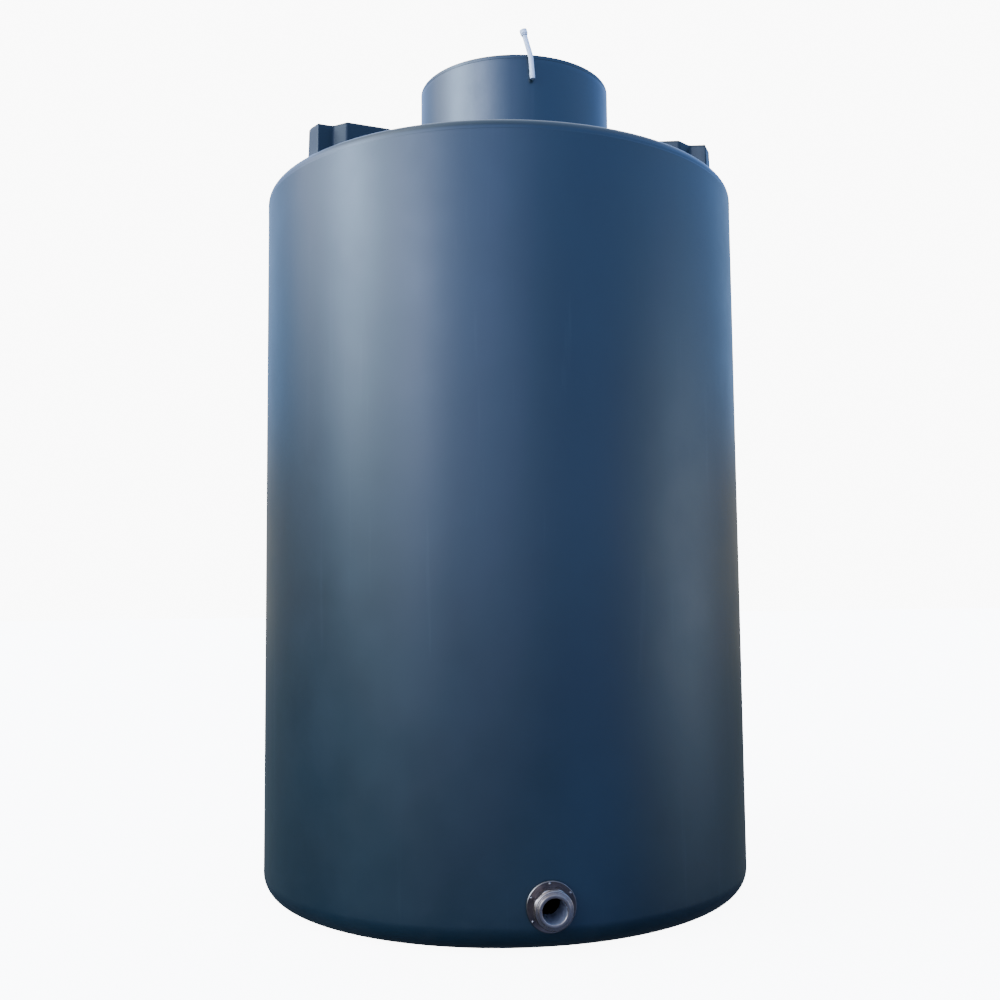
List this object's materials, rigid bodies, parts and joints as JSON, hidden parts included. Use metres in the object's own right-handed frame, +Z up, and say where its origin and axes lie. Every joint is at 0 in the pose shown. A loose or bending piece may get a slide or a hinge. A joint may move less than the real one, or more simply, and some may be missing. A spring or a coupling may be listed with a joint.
{
  "type": "water tank",
  "caption": "Upright round plastic water tank with shoulder lugs, an offset lidded manway neck, a steel outlet low on the wall and a small breather tube.",
  "frame": {"origin": "centre of the tank's round base, on the floor", "axes": "+Z up along the tank's axis; -Y towards the outlet; the neck stands to +X of the centre"},
  "size_m": [1.626, 1.6823, 2.8531],
  "materials": {
    "tank_poly": "satin dark navy moulded polyethylene",
    "lid_poly": "satin dark navy moulded polyethylene",
    "gasket_rubber": "matt black",
    "fitting_steel": "turned, slightly dull",
    "tube_plastic": "satin white"
  },
  "bodies": {
    "root": {"tank_floor": "tank_poly", "wall_outlet_panel": "tank_poly", "wall_segment_01": "tank_poly", "wall_segment_02": "tank_poly", "wall_segment_03": "tank_poly", "wall_segment_04": "tank_poly", "wall_segment_05": "tank_poly", "wall_segment_06": "tank_poly", "wall_segment_07": "tank_poly", "wall_segment_08": "tank_poly", "wall_segment_09": "tank_poly", "wall_segment_10": "tank_poly", "wall_segment_11": "tank_poly", "wall_segment_12": "tank_poly", "deck_segment_01": "tank_poly", "deck_segment_02": "tank_poly", "deck_segment_03": "tank_poly", "deck_segment_04": "tank_poly", "deck_segment_05": "tank_poly", "deck_segment_06": "tank_poly", "deck_segment_07": "tank_poly", "deck_segment_08": "tank_poly", "neck_segment_01": "tank_poly", "neck_segment_02": "tank_poly", "neck_segment_03": "tank_poly", "neck_segment_04": "tank_poly", "neck_segment_05": "tank_poly", "neck_segment_06": "tank_poly", "lifting_lug_01": "tank_poly", "lifting_lug_02": "tank_poly", "lifting_lug_03": "tank_poly", "manway_lid": "lid_poly", "outlet_gasket": "gasket_rubber", "outlet_flange": "fitting_steel", "outlet_nut": "fitting_steel", "outlet_sleeve": "fitting_steel", "outlet_inner_flange": "fitting_steel", "breather_tube": "tube_plastic", "tube_cap": "tube_plastic", "tube_saddle": "tube_plastic"}
  },
  "joints": []
}
